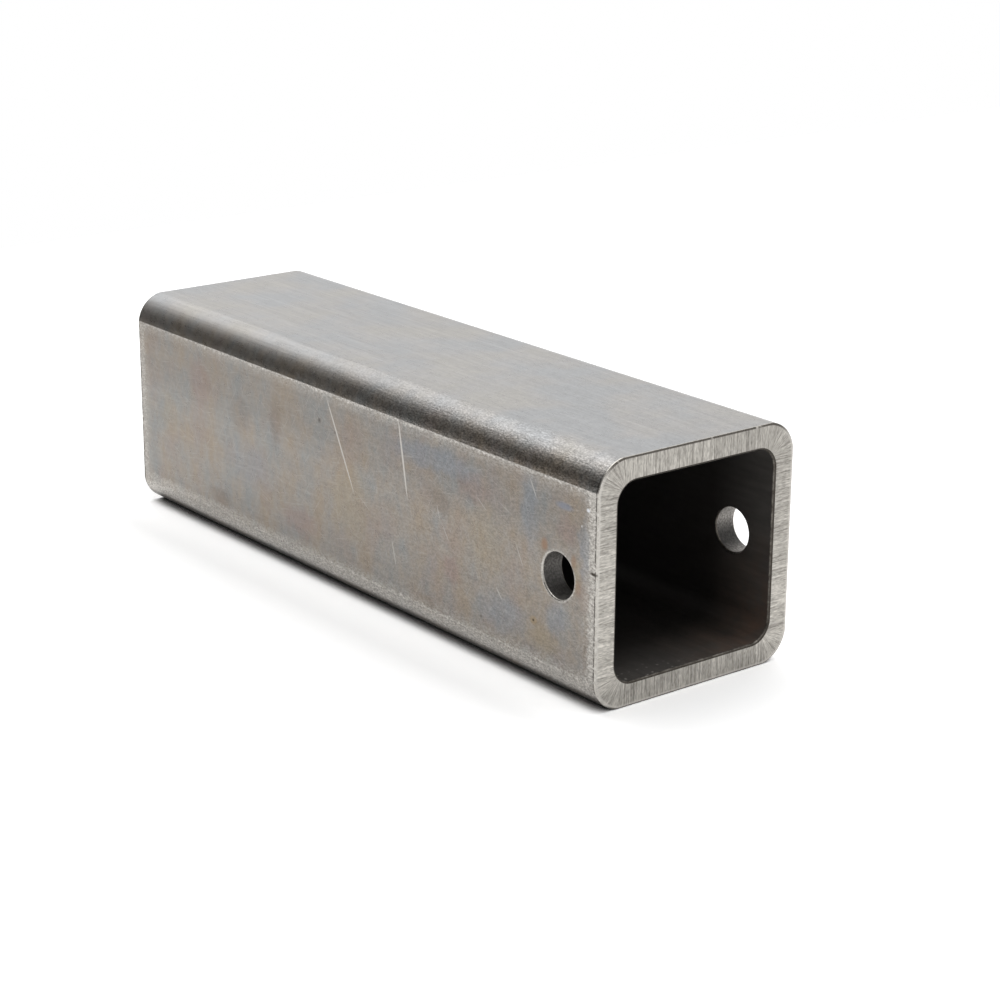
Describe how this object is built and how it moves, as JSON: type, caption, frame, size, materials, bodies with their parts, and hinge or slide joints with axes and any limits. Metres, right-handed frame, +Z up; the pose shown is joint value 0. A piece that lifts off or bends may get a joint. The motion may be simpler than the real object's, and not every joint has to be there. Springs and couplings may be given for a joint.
{
  "type": "hitch receiver tube",
  "caption": "Short length of heavy-wall square steel tube, bare mill finish, open at both ends and cross-drilled near its mouth for a pin that holds a sliding shank.",
  "frame": {"origin": "middle of the lower flat that the tube lies on", "axes": "+X along the tube towards the mouth with the pin hole, +Y across the tube along the pin hole, +Z up"},
  "size_m": [0.2096, 0.0636, 0.0635],
  "materials": {
    "mill_steel": "bare hot-rolled steel with a thin heat and oil patina, sawn ends"
  },
  "bodies": {
    "root": {"receiver_tube": "mill_steel"}
  },
  "joints": []
}
